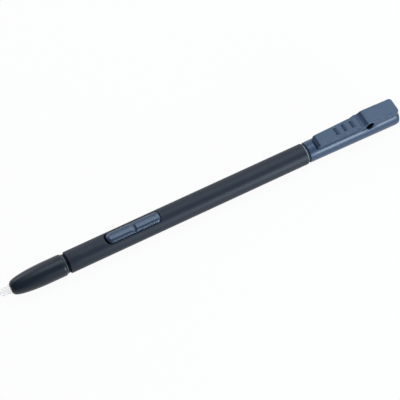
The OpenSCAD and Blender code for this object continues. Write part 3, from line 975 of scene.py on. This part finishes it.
@dataclass
class Barrel:
    """The soft-touch tube with the switch's window, a rear bevel coloured light with a painted highlight,
    and a front face in painted shade.
    """

    rear_x: float = 108.15
    front_round: float = 0.25
    rear_bevel: float = 0.35
    window: RoundedPlan = RoundedPlan(36.15, 55.45, 2.2, 2.2, 1.85, 1.45)
    window_round: float = 0.07
    ring_pitch: float = 4.0
    # Lean of the bevel's faces to the rear, and lean below which a face belongs to the front end
    bevel_facing: Point = (0.5, 0.95)
    front_facing: float = -0.8
    # How near an edge has to lie to the outside and to the window, and its least angle, to be rounded
    skin: float = 0.02
    slack: float = 0.01
    rim_angle: float = 25.0
    coat: MouldedPlastic = MouldedPlastic(
        "barrel_coat",
        (35, 42, 53),
        variation=0.1,
        grain=0.16,
        depth=0.008,
        roughness=(0.46, 0.58),
        specular=0.3,
    )
    # Painted highlight: the rear bevel's light colour is a light ring with its highlight painted in
    bevel_highlight: MouldedPlastic = MouldedPlastic("barrel_bevel_highlight", (140, 152, 164), roughness=(0.25, 0.35))
    # Painted shade: the front end face, down in the groove, is coloured near-black
    front_shade: MouldedPlastic = gap_shade_plastic("barrel_front_painted_shade", (17, 19, 26))

    def build(self) -> None:
        """Spins the tube, cuts its window, picks out its ends and dresses it."""
        front = BARREL_X + self.front_round
        rear = self.rear_x - self.rear_bevel
        rings = round((rear - front) / self.ring_pitch)
        profile = [(BARREL_X, BORE_R)]
        profile += arc((front, BARREL_R - self.front_round), self.front_round, 180, 90, steps=4)
        profile += [(x, BARREL_R) for x in spaced(front, rear, rings)[1:]]
        profile += [(self.rear_x, BARREL_R - self.rear_bevel), (self.rear_x, BORE_R)]
        tube = turned(profile, closed=True, steps=128)
        tube = combined(tube, prism(self.window.outline(), 0, 2 * BARREL_R))
        least, greatest = self.bevel_facing
        for face in tube.faces:
            x = face.calc_center_median().x
            # The rear bevel takes the painted highlight, and the front end face the near-black painted
            # shade
            if x > rear and least < face.normal.x < greatest:
                face.material_index = 1
            if x < front and face.normal.x < self.front_facing:
                face.material_index = 2
        self.round_window(tube)
        finishes = [self.coat, self.bevel_highlight, self.front_shade]
        dressed("barrel_tube", tube, finishes, Body.PEN, "barrel")

    def round_window(self, tube: BMesh) -> None:
        """Rounds the window's outer edge.

        Args:
            tube: The tube with its window cut.
        """
        low, high = self.window.front - self.slack, self.window.rear + self.slack
        rim = []
        for edge in tube.edges:
            ends = [vert.co for vert in edge.verts]
            outside = all(abs(end.yz.length - BARREL_R) < self.skin for end in ends)
            inside = all(low <= end.x <= high and end.z > 0 for end in ends)
            sharp = len(edge.link_faces) == 2 and edge.calc_face_angle() > math.radians(self.rim_angle)
            if outside and inside and sharp:
                rim.append(edge)
        bmesh.ops.bevel(
            tube,
            geom=rim,
            offset=self.window_round,
            offset_type="OFFSET",
            segments=2,
            profile=0.5,
            affect="EDGES",
            material=-1,
            clamp_overlap=True,
        )


@dataclass
class RockerSwitch:
    """The rocker: a rimmed plate with two crowned pillows, a divider, a dust lip, a lug and two feet."""

    plan: RoundedPlan = RoundedPlan(36.9, 55.2, 1.95, 1.95, 1.6, 1.2)
    pivot_x: float = 46.05
    rim_r: float = 3.65
    rim_round: float = 0.18
    floor_z: float = 2.31
    rim_w: float = 0.2
    pillow_z: float = 3.86
    crown_r: float = 5.5
    flank: float = 0.9
    flank_blend: float = 0.25
    divider: float = 0.34
    divider_depth: float = 0.045
    pin_z: float = 1.5
    pin_bore_r: float = 0.4
    lug_r: float = 0.82
    lug_w: float = 1.05
    foot_offset: float = 6.3
    foot_r: float = 0.6
    foot_z: float = 0.8
    foot_edge: float = 0.15
    dust_lip: RoundedPlan = RoundedPlan(36.25, 40.0, 2.1, 2.1, 1.8, 0.0)
    dust_lip_z: Point = (2.2, 2.42)
    plastic: MouldedPlastic = MouldedPlastic(
        "switch_plastic", (44, 59, 83), roughness=(0.3, 0.4), specular=0.76, mirror_tint=SLATE_GLINT
    )
    # Painted shade: the dust lip, of the rocker's own plastic, is coloured near-black where it lies in the
    # gap
    painted_lip_shade: MouldedPlastic = gap_shade_plastic("gap_painted_lip_shade", (10, 11, 13))

    def top(self, x: float, y: float) -> float:
        """Height of the rocker's top at a point: the lower of a pillow's crown and its flank, blended.

        Args:
            x: Station of the point.
            y: Its distance across the pen.

        Returns:
            The height.
        """
        edge = self.plan.edge_distance(x, y)
        split = abs(x - self.pivot_x)
        rim = math.sqrt(self.rim_r ** 2 - y * y) - self.divider_depth * max(0.0, 1 - split / self.divider)
        flank = rim + self.flank * max(0.0, min(edge - self.rim_w, split - self.divider))
        crown = self.pillow_z - y * y / (2 * self.crown_r)
        apart = max(0.0, 1 - abs(crown - flank) / (2 * self.flank_blend))
        return min(crown, flank) - self.flank_blend * apart ** 2 / 2 - edge_drop(edge, self.rim_round)

    def place(self, x: float, share: float) -> Vector:
        """Place of a grid point, from its station and its share of the half width."""
        y = share * self.plan.half_width(x)
        return Vector((x, y, self.top(x, y)))

    def build(self) -> None:
        """Builds the plate, the dust lip, the lug and the feet and dresses them as one piece."""
        split = spaced(self.pivot_x - self.divider, self.pivot_x + self.divider, steps=6)
        front = gathered(self.plan.front, self.pivot_x, steps=72)
        rear = gathered(self.pivot_x, self.plan.rear, steps=72)
        grid = gridded(merged_lines(front, rear, split), side_to_side(64), self.place)
        plate = backed(grid, lambda x: self.floor_z)
        lip = prism(self.dust_lip.outline(), *self.dust_lip_z)
        # The dust lip takes the painted shade
        for face in lip.faces:
            face.material_index = 1
        parts = [plate, lip, self.lug()] + [self.foot(side) for side in (-1, 1)]
        finishes = [self.plastic, self.painted_lip_shade]
        dressed("rocker_switch", joined(parts), finishes, Body.SWITCH, "side_switch")

    def lug(self) -> BMesh:
        """Spins the eye that the pin passes through and turns it across the pen.

        Returns:
            The eye.
        """
        ring = [(-self.lug_w, self.pin_bore_r), (-self.lug_w, self.lug_r)]
        ring += [(self.lug_w, self.lug_r), (self.lug_w, self.pin_bore_r)]
        eye = turned(ring, closed=True, steps=48)
        return set_up(eye, Axis.UP, 90, (self.pivot_x, 0, self.pin_z))

    def foot(self, side: int) -> BMesh:
        """Spins a round foot and stands it under one end of the rocker.

        Args:
            side: -1 for the front end and 1 for the rear end.

        Returns:
            The foot.
        """
        top = self.floor_z + self.foot_edge
        profile = [(self.foot_z, 0), (self.foot_z, self.foot_r - self.foot_edge)]
        profile += [(self.foot_z + self.foot_edge, self.foot_r), (top, self.foot_r), (top, 0)]
        foot = turned(profile, steps=32)
        return set_up(foot, Axis.ACROSS, -90, (self.pivot_x + side * self.foot_offset, 0, 0))


@dataclass
class TailMoulding:
    """The tail: a round body with a seat under the arm, thumb step, pad and tether hole."""

    plug_x: float = 103.95
    plug_r: float = 2.92
    front_x: float = 108.75
    rear_x: float = 142.0
    neck_r: float = 3.5
    end_r: float = 3.9
    end_run: float = 1.6
    end_drop: float = 0.45
    bevel: float = 0.2
    channel_x: float = 111.3
    channel_h: float = 2.9
    slot_z: Point = (2.93, 3.2)
    seat_r: float = 0.985
    lip_turn: float = 45.0
    step_top_x: float = 130.0
    step_sweep: float = 60.0
    step_straight: float = 0.15
    step_round: float = 0.5
    pad_w: Point = (2.85, 2.9)
    pad_h: Point = (5.75, 5.05)
    pad_foot: float = 1.6
    pad_rear_x: float = 141.8
    pad_corner_r: float = 1.0
    pad_round: float = 0.4
    tether_x: float = 130.85
    tether_z: float = 3.7
    tether_r: float = 1.45
    tether_round: float = 0.2
    tether_turn: float = 105.0
    tether_flare: Point = (0.2, 0.3)
    bore_reach: float = 0.01
    seal_x: Point = (108.18, 108.72)
    seal_r: float = 3.25
    seal_bore_r: float = 2.95
    plastic: MouldedPlastic = slate_plastic("tail_plastic")
    # Painted shade: the tether hole's wall is coloured near-black
    bore_shade: MouldedPlastic = MouldedPlastic(
        "tether_bore_painted_shade", (16, 20, 27), roughness=(0.55, 0.7), specular=0.15
    )
    rubber: MouldedPlastic = MouldedPlastic("seal_rubber", (36, 39, 44), roughness=(0.6, 0.75), grain=0.08)

    def __post_init__(self) -> None:
        """Works out the ends of the taper, the lip over the arm's root and the pad's plan."""
        turn = math.radians(self.lip_turn)
        self.taper = (self.front_x + self.bevel, self.rear_x - self.end_run)
        self.lip_x = ROOT_X + self.seat_r * math.cos(turn)
        self.lip_z = ROOT_Z + self.seat_r * math.sin(turn)
        self.corner_x = self.pad_rear_x - self.pad_corner_r
        self.plan = RoundedPlan(self.lip_x, self.pad_rear_x, *self.pad_w, 0.0, self.pad_corner_r)

    def radius(self, x: float) -> float:
        """Radius of the round body at a station."""
        return between(self.neck_r, self.end_r, share_of(x, *self.taper))

    def body(self) -> BMesh:
        """Spins the plug and the round body with its rounded end.

        Returns:
            The closed body.
        """
        start, end = self.taper
        profile = [(self.plug_x, 0), (self.plug_x, self.plug_r - self.bevel)]
        profile += [(self.plug_x + self.bevel, self.plug_r), (self.front_x, self.plug_r)]
        profile += arc((start, self.neck_r - self.bevel), self.bevel, 180, 90, steps=4)
        profile += [(x, self.radius(x)) for x in spaced(start, end, steps=10)[1:]]
        profile += falling((self.rear_x, self.end_r), self.end_run, self.end_drop, steps=20)[1:]
        profile.append((self.rear_x, 0))
        return turned(profile, steps=128)

    def ridge(self, x: float) -> float:
        """Height of the pad along its middle: the hollow step, a soft brow and the sloping top.

        Args:
            x: The station.

        Returns:
            The height.
        """
        flat = between(*self.pad_h, share_of(x, self.step_top_x, self.pad_rear_x))
        share = share_of(x, self.lip_x, self.step_top_x)
        sweep = math.radians(self.step_sweep)
        turn = math.asin(share * math.sin(sweep))
        rise = (1 - math.cos(turn)) / (1 - math.cos(sweep))
        rise = between(rise, share, self.step_straight)
        slope = between(self.lip_z, self.pad_h[0], rise) if x < self.step_top_x else self.pad_h[0]
        brow = self.step_round * max(0.0, 1 - abs(x - self.step_top_x) / (2 * self.step_round)) ** 2 / 4
        return min(slope, flat) - brow

    def pad_top(self, x: float, y: float) -> float:
        """Height of the pad's top at a point, edges rounded.

        Args:
            x: Station of the point.
            y: Its distance across the pen.

        Returns:
            The height.
        """
        beside = self.plan.half_width(x) - abs(y) if x < self.corner_x else self.plan.edge_distance(x, y)
        inside = min(beside, self.pad_rear_x - x)
        return self.ridge(x) - edge_drop(inside, self.pad_round)

    def place(self, x: float, share: float) -> Vector:
        """Place of a point on the pad's top, from its station and its share of the half width."""
        y = share * self.plan.half_width(x)
        return Vector((x, y, self.pad_top(x, y)))

    def pad(self) -> BMesh:
        """Lays the pad's top on a grid and carries its sides down into the body.

        Returns:
            The closed pad.
        """
        corner = [self.corner_x + self.pad_corner_r * math.sin(turn) for turn in quarter(24)]
        brow = self.step_top_x + 2 * self.step_round
        step, top = spaced(self.lip_x, brow, steps=40), spaced(brow, self.corner_x, steps=14)
        xs = merged_lines(step, top, corner, least=0.002)
        return backed(gridded(xs, side_to_side(64), self.place), lambda x: self.pad_foot)

    def side(self, z: float) -> float:
        """Half the tail's width at the tether hole, at a height."""
        radius = self.radius(self.tether_x)
        return max(self.plan.side(self.tether_x), math.sqrt(max(0.0, radius ** 2 - z * z)))

    def tether_cutter(self) -> BMesh:
        """Shape of the tether hole, with round rims that follow the tail's sides.

        Returns:
            The closed cutter.
        """
        centre = (self.tether_r + self.tether_round, -self.tether_round)
        rim = arc(centre, self.tether_round, 180, self.tether_turn, steps=6)
        rim.append((rim[-1][0] + self.tether_flare[0], rim[-1][1] + self.tether_flare[1]))
        stations = [(radius, offset, 1) for radius, offset in reversed(rim)]
        stations += [(radius, offset, -1) for radius, offset in rim]
        loops = []
        for radius, offset, side in stations:
            loop = []
            for dx, dz in arc((0, 0), radius, 0, 360, steps=72)[:-1]:
                z = self.tether_z + dz
                loop.append(Vector((self.tether_x + dx, side * (self.side(z) + offset), z)))
            loops.append(loop)
        return lofted(loops)

    def seat_cutter(self) -> BMesh:
        """Round bar across the tail that the arm's root turns in.

        Returns:
            The closed cutter.
        """
        reach = 2 * self.end_r
        bar = turned([(-reach, 0), (-reach, self.seat_r), (reach, self.seat_r), (reach, 0)], steps=64)
        return set_up(bar, Axis.UP, 90, (ROOT_X, 0, ROOT_Z))

    def slab(self, stations: Point, heights: Point) -> BMesh:
        """A block right across the tail, between two stations and two heights.

        Args:
            stations: Front and rear station.
            heights: Lower and upper height.

        Returns:
            The closed block.
        """
        reach = 2 * self.end_r
        front, rear = stations
        return prism([(front, -reach), (rear, -reach), (rear, reach), (front, reach)], *heights)

    def build(self) -> None:
        """Builds the tail and its seal and dresses them."""
        tail = combined(self.body(), self.pad(), Cut.ADD)
        tail = combined(tail, self.slab((self.channel_x, ROOT_X), (self.channel_h, 2 * self.end_r)))
        tail = combined(tail, self.seat_cutter())
        tail = combined(tail, self.slab((ROOT_X - self.seat_r, self.tether_x), self.slot_z))
        tail = combined(tail, self.tether_cutter())
        self.shade_bore(tail)
        finishes = [self.plastic, self.bore_shade]
        dressed("tail_moulding", tail, finishes, Body.PEN, "tail_cap")
        self.build_seal()

    def shade_bore(self, tail: BMesh) -> None:
        """Gives the tether hole's wall its painted shade, a near-black colour.

        Args:
            tail: The finished tail.
        """
        for face in tail.faces:
            middle = face.calc_center_median()
            away = math.hypot(middle.x - self.tether_x, middle.z - self.tether_z)
            face.material_index = int(away < self.tether_r + self.bore_reach)

    def build_seal(self) -> None:
        """Spins the rubber ring in the groove between barrel and tail."""
        front, rear = self.seal_x
        half = (rear - front) / 2
        profile = [(front, self.seal_bore_r)]
        profile += arc((front + half, self.seal_r - half), half, 180, 0, steps=10)
        profile.append((rear, self.seal_bore_r))
        seal = turned(profile, closed=True)
        dressed("groove_seal", seal, [self.rubber], Body.PEN, "tail_seal")


@dataclass
class ClipArm:
    """The spring arm: a tapered leaf with a round root and thumb notches."""

    plan: RoundedPlan = RoundedPlan(111.55, 128.325, 2.25, 2.5, 0.9, 0.0)
    toe_z: float = 3.4
    ramp_x: float = 112.2
    ramp_round: float = 0.6
    root_r: float = 0.925
    top_z: Point = (4.65, 5.05)
    floor_z: float = 3.2
    edge_round: float = 0.25
    notch_starts: tuple[float, ...] = (119.15, 122.05, 124.95)
    notch_length: float = 1.6
    notch_w: float = 1.4
    notch_depth: float = 0.46
    notch_curve: float = 1.8
    wall: float = 0.03
    inner_w: float = 1.55
    inner_share: float = 0.7
    root_flare: float = 0.3
    flare_run: float = 1.6
    plastic: MouldedPlastic = slate_plastic("arm_plastic")

    def half_width(self, x: float) -> float:
        """Half the arm's width at a station, with its root flared to the pad's width."""
        return self.plan.half_width(x) + self.root_flare * eased(x, ROOT_X - self.flare_run, ROOT_X)

    def root_half(self, x: float) -> float:
        """Half the round root's height at a station."""
        return math.sqrt(max(0.0, self.root_r ** 2 - (x - ROOT_X) ** 2))

    def spine(self, x: float) -> float:
        """Height of the arm along its middle: the ramp at its front end, a soft brow and the long top.

        Args:
            x: The station.

        Returns:
            The height.
        """
        rise = self.top_z[0] - self.toe_z
        ramp = self.toe_z + rise * share_of(x, self.plan.front, self.ramp_x)
        long_top = between(*self.top_z, share_of(x, self.ramp_x, ROOT_X))
        steepness = rise / (self.ramp_x - self.plan.front)
        brow = max(0.0, 1 - abs(x - self.ramp_x) / self.ramp_round) ** 2 * steepness * self.ramp_round / 4
        return min(ramp, long_top) - brow if x < self.ramp_x else long_top - brow

    def top(self, x: float, y: float) -> float:
        """Height of the arm's top at a point.

        Args:
            x: Station of the point.
            y: Its distance across the pen.

        Returns:
            The height.
        """
        if x > ROOT_X:
            return ROOT_Z + self.root_half(x)
        narrowed = y * self.plan.half_width(x) / self.half_width(x)
        height = self.spine(x) - edge_drop(self.plan.edge_distance(x, narrowed), self.edge_round)
        for start in self.notch_starts:
            if start < x < start + self.notch_length and abs(y) < self.notch_w:
                height -= self.notch_depth * (1 - (x - start) / self.notch_length) ** self.notch_curve
        return height

    def floor(self, x: float) -> float:
        """Height of the arm's underside at a station."""
        return ROOT_Z - self.root_half(x) if x > ROOT_X else self.floor_z

    def place(self, x: float, line: float) -> Vector:
        """Place of a grid point.

        Args:
            x: Station.
            line: Line across the arm: up to 1 for the notched middle, from 1 to 2 for its edge.

        Returns:
            The point.
        """
        edge = self.half_width(x)
        middle = min(self.inner_w, edge * self.inner_share)
        across = abs(line)
        y = middle * across if across <= 1 else between(middle, edge, across - 1)
        y = math.copysign(y, line)
        return Vector((x, y, self.top(x, y)))

    def build(self) -> None:
        """Builds the arm and dresses it."""
        notches = []
        for start in self.notch_starts:
            notches += [start - self.wall, start + self.wall]
            notches += spaced(start + self.notch_length / 6, start + self.notch_length, steps=5)
        root = [ROOT_X + self.root_r * math.sin(turn) for turn in quarter(8)]
        front = [self.plan.front + self.plan.front_r * (1 - math.cos(turn)) for turn in quarter(14)]
        ramp = spaced(self.ramp_x - self.ramp_round, self.ramp_x + self.ramp_round, steps=10)
        top = spaced(self.ramp_x + self.ramp_round, ROOT_X, steps=28)
        xs = merged_lines(front, ramp, top, notches, root)
        wall = self.wall / self.inner_w
        edge = self.notch_w / self.inner_w
        bevel = [1 + math.sin(turn) for turn in quarter(12)]
        half = merged_lines(spaced(0, edge - wall, steps=6), [edge + wall, 1.0], bevel)
        lines = [-line for line in reversed(half[1:])] + half
        arm = backed(gridded(xs, lines, self.place), self.floor)
        dressed("spring_arm", arm, [self.plastic], Body.CLIP, "clip_arm", crease=40)


@dataclass
class InnerWorks:
    """The CAD nodes inside the pen, which keep their shapes and get finishes."""

    def finishes(self) -> dict[str, InnerFinish]:
        """Finish of each inner node.

        Returns:
            The finishes by name of node.
        """
        brass = InnerFinish("contact_brass", (178, 148, 84), Pattern.BRUSHED, 0.2, 0.32, 1.0)
        steel = InnerFinish("dome_steel", (176, 178, 180), Pattern.BRUSHED, 0.15, 0.28, 1.0)
        return {
            "nib_holder": InnerFinish("holder_resin", (214, 217, 212), size=0.3, roughness=0.4),
            "switch_pin": InnerFinish("pin_steel", (186, 188, 190), Pattern.BRUSHED, 0.1, 0.22, 1.0),
            "coil_former": InnerFinish("former_resin", (198, 178, 138), size=0.4, roughness=0.45),
            "ferrite_core": InnerFinish("ferrite", (56, 56, 60), size=0.15, roughness=0.55),
            "coil_winding": InnerFinish("copper", (186, 112, 66), Pattern.TURNS, 0.12, 0.3, 1.0),
            "coil_leads": InnerFinish("lead_enamel", (182, 84, 52), size=0.2, roughness=0.3),
            "sensor_housing": InnerFinish("housing_resin", (140, 146, 153), size=0.25, roughness=0.45),
            "sensor_rubber": InnerFinish("conductive_rubber", (38, 39, 42), size=0.1, roughness=0.7),
            "dielectric_disc": InnerFinish("disc_ceramic", (222, 214, 198), size=0.15, roughness=0.35),
            "sensor_terminal": brass,
            "board_carrier": InnerFinish("carrier_plastic", (34, 37, 42), size=0.2, roughness=0.5),
            "circuit_board": InnerFinish("board_laminate", (38, 92, 60), Pattern.WEAVE, 0.35, 0.4),
            "front_dome": steel,
            "rear_dome": steel,
            "control_chip": InnerFinish("chip_epoxy", (30, 31, 34), size=0.12, roughness=0.5),
            "trimmer": InnerFinish("trimmer_ceramic", (206, 196, 172), size=0.2, roughness=0.4),
            "chip_capacitors": InnerFinish("capacitor_ceramic", (168, 138, 104), size=0.12, roughness=0.45),
            "rear_cushion": InnerFinish("cushion_foam", (60, 62, 66), Pattern.CELLS, 0.35, 0.85),
        }

    def dress(self) -> None:
        """Gives each inner node its finish."""
        made: dict[str, Material] = {}
        for node, finish in self.finishes().items():
            if finish.name not in made:
                made[finish.name] = finish.material()
            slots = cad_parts[node].material_slots
            if not slots:
                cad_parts[node].data.materials.append(made[finish.name])
            for slot in slots:
                slot.material = made[finish.name]
            log.info("%s: kept, dressed in %s", node, finish.name)


def background_rays(tree: Tree) -> Socket:
    """Finds the rays that show the background.

    Args:
        tree: Nodes of the floor.

    Returns:
        1 for what the camera sees by itself, in a mirror or through glass, and 0 for light.
    """
    path = tree.nodes.new("ShaderNodeLightPath").outputs
    seen = path["Is Camera Ray"]
    for other in ("Is Glossy Ray", "Is Transmission Ray"):
        seen = calculated(tree, Sum.GREATER, seen, path[other])
    return seen


@dataclass
class Lamp:
    """A soft lamp.

    Attributes:
        name: Its name.
        place: Where it stands, in metres.
        size: Its width and height in metres.
        watts: Its strength.
        colour: Its colour, a cool white.
    """

    name: str
    place: Triple
    size: Point
    watts: float
    colour: Triple = (0.86, 0.96, 1.06)

    def build(self) -> None:
        """Hangs the lamp, points it at the pen and turns its width along the pen."""
        data = bpy.data.lights.new(self.name, "AREA")
        data.shape = "RECTANGLE"
        data.size, data.size_y = self.size
        data.energy = self.watts
        data.color = self.colour
        lamp = bpy.data.objects.new(self.name, data)
        lamp.location = self.place
        away = Vector(self.place).normalized()
        along = (Vector((1, 0, 0)) - away * away.x).normalized()
        lamp.rotation_euler = Matrix((along, away.cross(along), away)).transposed().to_euler()
        bpy.context.scene.collection.objects.link(lamp)


@dataclass
class Studio:
    """Floor, lamps, world and camera.

    Attributes:
        azimuth: Turn of the camera about the pen, in degrees.
        elevation: Its height above the ground, in degrees.
        distance: Its distance from the point it looks at, in metres.
        lens: Its focal length, in millimetres.
        clip_start: Distance at which its view begins, in metres.
        aim: Point it looks at, in metres.
        shift: Shift of its picture sideways and upwards.
        floor_size: Width of the floor, in metres.
        floor_gap: Room between the floor and the pen, in metres.
        floor_white: Share of plain white in what is seen of the floor.
        floor_pale: Brightness of the rest, which takes the shadow.
        floor_grey: Brightness of the floor to the light that it throws back at the pen.
        floor_rough: Roughness of the floor.
        ceiling: Brightness overhead.
        wall_top: Heights between which the bright wall fades into the ceiling.
        wall_lean: How much higher the wall is behind the tail and on the far side.
        lamps: The lamps.
    """

    azimuth: float = -28.0
    elevation: float = 60.0
    distance: float = 0.5
    lens: float = 141.4
    clip_start: float = 0.01
    aim: Triple = (-0.0011, 0.0, 0.0039)
    shift: Point = (-0.00074, 0.00384)
    floor_size: float = 6.0
    floor_gap: float = 0.00005
    floor_white: float = 0.95
    floor_pale: float = 0.8
    floor_grey: float = 0.35
    floor_rough: float = 0.9
    ceiling: float = 0.08
    wall_top: Point = (0.02, 0.32)
    wall_lean: Point = (0.3, 0.55)
    lamps: tuple[Lamp, ...] = (
        Lamp("far_softbox", (0.36, 0.19, 0.69), (0.9, 0.5), 5.0),
        Lamp("near_strip", (0.155, -0.34, 0.075), (0.12, 0.07), 1.1),
        Lamp("nose_card", (-0.16, 0.58, 0.36), (0.3, 0.3), 0.85),
    )

    def build(self) -> None:
        """Sets the whole stage."""
        self.build_floor()
        self.build_world()
        for lamp in self.lamps:
            lamp.build()
        self.build_camera()
        bpy.context.scene.view_settings.view_transform = "Standard"

    def build_floor(self) -> None:
        """Lays a floor that is white to the camera, keeps a faint shadow and is grey to the pen."""
        bm = bmesh.new()
        bmesh.ops.create_grid(bm, x_segments=2, y_segments=2, size=self.floor_size / 2)
        bmesh.ops.translate(bm, verts=bm.verts, vec=(0, 0, -self.floor_gap))
        floor = loose_object("pale_floor", bm)
        sketch = ShaderSketch("pale_floor")
        sketch.set(Roughness=self.floor_rough)
        tree = sketch.tree
        seen = background_rays(tree)
        grey = mapped(tree, seen, (0.0, 1.0), (self.floor_grey, self.floor_pale))
        tree.links.new(grey, sketch.shader.inputs["Base Color"])
        glow = tree.nodes.new("ShaderNodeEmission")
        glow.inputs["Strength"].default_value = 1.0
        mix = tree.nodes.new("ShaderNodeMixShader")
        tree.links.new(calculated(tree, Sum.PRODUCT, seen, self.floor_white), mix.inputs["Fac"])
        tree.links.new(sketch.shader.outputs["BSDF"], mix.inputs[1])
        tree.links.new(glow.outputs["Emission"], mix.inputs[2])
        output = next(node for node in tree.nodes if node.type == "OUTPUT_MATERIAL")
        tree.links.new(mix.outputs["Shader"], output.inputs["Surface"])
        floor.data.materials.append(sketch.material)

    def build_world(self) -> None:
        """Makes the world white at the horizon and dim overhead, as in a studio with a dark ceiling."""
        world = bpy.data.worlds.new("studio")
        world.use_nodes = True
        bpy.context.scene.world = world
        tree = world.node_tree
        back = next(node for node in tree.nodes if node.type == "BACKGROUND")
        back.inputs["Color"].default_value = (1, 1, 1, 1)
        height = tree.nodes.new("ShaderNodeVectorMath")
        height.operation = "DOT_PRODUCT"
        tailwards, farwards = self.wall_lean
        height.inputs[1].default_value = (-tailwards, -farwards, 1)
        tree.links.new(tree.nodes.new("ShaderNodeTexCoord").outputs["Generated"], height.inputs[0])
        fade = mapped(tree, height.outputs["Value"], self.wall_top, (1.0, self.ceiling), Fade.SOFT)
        tree.links.new(fade, back.inputs["Strength"])

    def build_camera(self) -> None:
        """Sets the camera at the photograph's angle."""
        data = bpy.data.cameras.new("view")
        data.lens = self.lens
        data.shift_x, data.shift_y = self.shift
        data.clip_start = self.clip_start
        camera = bpy.data.objects.new("view", data)
        turn, tilt = math.radians(self.azimuth), math.radians(self.elevation)
        back = Vector((math.sin(turn) * math.cos(tilt), -math.cos(turn) * math.cos(tilt), math.sin(tilt)))
        camera.location = Vector(self.aim) + back * self.distance
        camera.rotation_euler = (-back).to_track_quat("-Z", "Y").to_euler()
        bpy.context.scene.collection.objects.link(camera)
        bpy.context.scene.camera = camera


def main() -> None:
    """Builds the stage and every sub-assembly in order."""
    logging.basicConfig(level=logging.INFO, format="%(name)s: %(message)s")
    Studio().build()
    NibTip().build()
    Nose().build()
    Barrel().build()
    RockerSwitch().build()
    TailMoulding().build()
    ClipArm().build()
    InnerWorks().dress()


if __name__ == "__main__":
    main()
